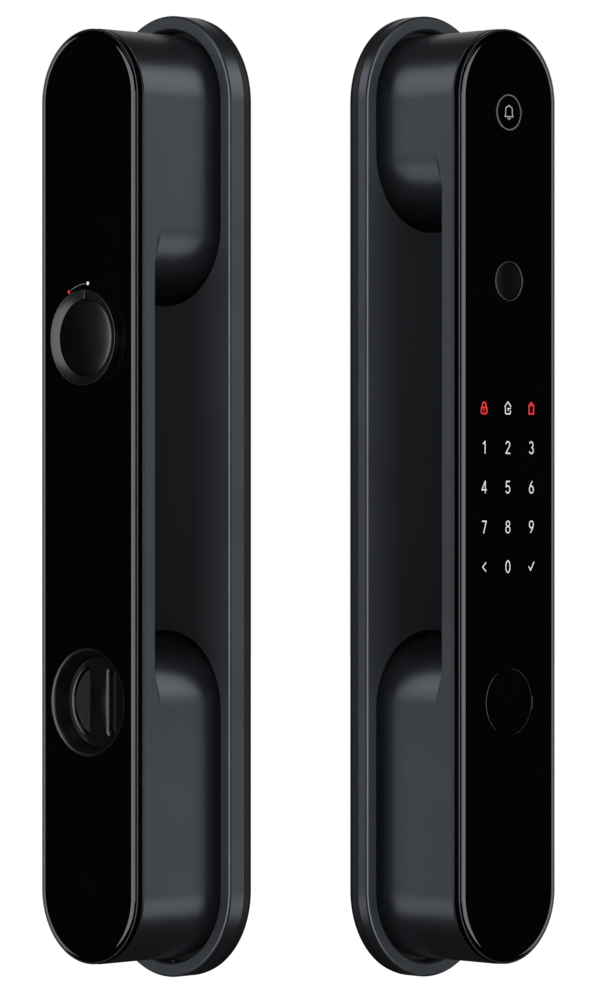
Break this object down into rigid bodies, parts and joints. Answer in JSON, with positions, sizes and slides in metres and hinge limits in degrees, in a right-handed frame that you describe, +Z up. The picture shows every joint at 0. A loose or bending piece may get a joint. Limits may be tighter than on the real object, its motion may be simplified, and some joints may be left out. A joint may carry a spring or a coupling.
{
  "type": "keypad smart lock",
  "caption": "Push-pull door lock in two pill-shaped halves: outdoor handle with keypad, bell and fingerprint reader, indoor handle with safety ring and thumbturn.",
  "frame": {"origin": "centre of the outdoor half's back face, at mid-height, where it seats on the outside of the door", "axes": "+Z up along both handles; the outdoor half faces -Y and the indoor half, shown beside it at a right angle, faces -X"},
  "size_m": [0.1722, 0.1664, 0.42],
  "materials": {
    "satin_metal": "satin fine-texture dark grey paint on die-cast zinc",
    "black_glass": "glossy black tempered glass with a rounded edge",
    "trim": "black anodised trim with a bright cut edge",
    "black_plastic": "fine moulded texture",
    "knob_plastic": "smooth satin black",
    "rubber_seal": "matte black seal",
    "steel": "zinc-plated steel",
    "spring_steel": "drawn spring wire",
    "acetal": "white acetal",
    "circuit_board": "green solder mask",
    "copper": "etched copper loop",
    "brass": "turned brass",
    "battery_wrap": "shrink-wrapped lithium pack",
    "light_guide": "clear diffuser",
    "white_print": "white back-lit printing under the glass",
    "red_print": "red back-lit printing under the glass",
    "grey_print": "thin grey lines printed under the glass"
  },
  "bodies": {
    "outdoor_mount": {"outdoor_gasket": "rubber_seal", "outdoor_base": "black_plastic", "outdoor_backplate": "satin_metal", "outdoor_guide_post_upper": "steel", "outdoor_guide_post_lower": "steel", "outdoor_return_spring_upper": "spring_steel", "outdoor_return_spring_lower": "spring_steel", "cylinder_body": "brass"},
    "outdoor_handle": {"outdoor_handle_body": "satin_metal", "outdoor_trim_ring": "trim", "outdoor_glass": "black_glass", "outdoor_guide_bush_upper": "acetal", "outdoor_guide_bush_lower": "acetal", "bell_switch": "black_plastic", "fingerprint_bezel": "trim", "fingerprint_sensor": "black_glass", "keypad_light_guide": "light_guide", "keypad_board": "circuit_board", "keypad_board_screw_1": "steel", "keypad_board_screw_2": "steel", "card_antenna": "copper", "speaker": "black_plastic"},
    "bell_button": {"bell_button": "black_glass"},
    "cylinder_cover": {"cylinder_cover": "black_glass"},
    "cylinder_plug": {"cylinder_plug": "steel"},
    "indoor_mount": {"indoor_gasket": "rubber_seal", "indoor_base": "black_plastic", "indoor_backplate": "satin_metal", "indoor_bottom_screw": "steel", "indoor_guide_post_upper": "steel", "indoor_guide_post_lower": "steel", "indoor_return_spring_upper": "spring_steel", "indoor_return_spring_lower": "spring_steel"},
    "indoor_handle": {"indoor_handle_body": "satin_metal", "indoor_trim_ring": "trim", "indoor_glass": "black_glass", "indoor_guide_bush_upper": "acetal", "indoor_guide_bush_lower": "acetal", "ring_sleeve": "black_plastic", "unlock_switch": "black_plastic", "button_spring": "spring_steel", "thumbturn_dish": "knob_plastic", "battery_pack": "battery_wrap", "battery_tray": "black_plastic", "main_board": "circuit_board", "main_board_screw_1": "steel", "main_board_screw_2": "steel"},
    "safety_ring": {"safety_ring": "knob_plastic"},
    "unlock_button": {"unlock_button": "knob_plastic"},
    "thumbturn": {"thumbturn": "knob_plastic", "thumbturn_shaft": "steel"},
    "deadbolt_hub": {"deadbolt_hub": "steel"}
  },
  "joints": [
    {"name": "outdoor_handle_pull", "type": "slide", "parent": "outdoor_mount", "child": "outdoor_handle", "axis": [0, -1, 0], "range_m": [0, 0.006], "stiffness_N_per_m": 1200, "springref_m": -0.002},
    {"name": "bell_press", "type": "slide", "parent": "outdoor_handle", "child": "bell_button", "axis": [0, 1, 0], "range_m": [0, 0.001], "stiffness_N_per_m": 900, "springref_m": -0.0005},
    {"name": "cylinder_cover_lift", "type": "slide", "parent": "outdoor_handle", "child": "cylinder_cover", "axis": [0, -1, 0], "range_m": [0, 0.012]},
    {"name": "key_plug_turn", "type": "hinge", "parent": "outdoor_mount", "child": "cylinder_plug", "pos_m": [0, -0.03, -0.0885], "axis": [0, -1, 0], "range_deg": [-90, 90]},
    {"name": "halves_placement", "type": "hinge", "parent": "outdoor_mount", "child": "indoor_mount", "pos_m": [-0.0469, 0.0225, 0], "axis": [0, 0, -1], "range_deg": [0, 90]},
    {"name": "indoor_handle_push", "type": "slide", "parent": "indoor_mount", "child": "indoor_handle", "axis": [1, 0, 0], "range_m": [0, 0.006], "stiffness_N_per_m": 1200, "springref_m": -0.002},
    {"name": "safety_ring_turn", "type": "hinge", "parent": "indoor_handle", "child": "safety_ring", "pos_m": [-0.1294, 0.0694, 0.0683], "axis": [-1, 0, 0], "range_deg": [0, 31]},
    {"name": "unlock_press", "type": "slide", "parent": "indoor_handle", "child": "unlock_button", "axis": [1, 0, 0], "range_m": [0, 0.002], "stiffness_N_per_m": 900, "springref_m": -0.0008},
    {"name": "thumbturn_turn", "type": "hinge", "parent": "indoor_handle", "child": "thumbturn", "pos_m": [-0.1194, 0.0694, -0.0885], "axis": [-1, 0, 0], "range_deg": [0, 90]},
    {"name": "deadbolt_hub_turn", "type": "hinge", "parent": "indoor_mount", "child": "deadbolt_hub", "pos_m": [-0.0774, 0.0694, -0.0885], "axis": [-1, 0, 0], "range_deg": [0, 90]}
  ],
  "couplings": [
    {"joint": "deadbolt_hub_turn", "follows": "thumbturn_turn", "ratio": 1}
  ]
}
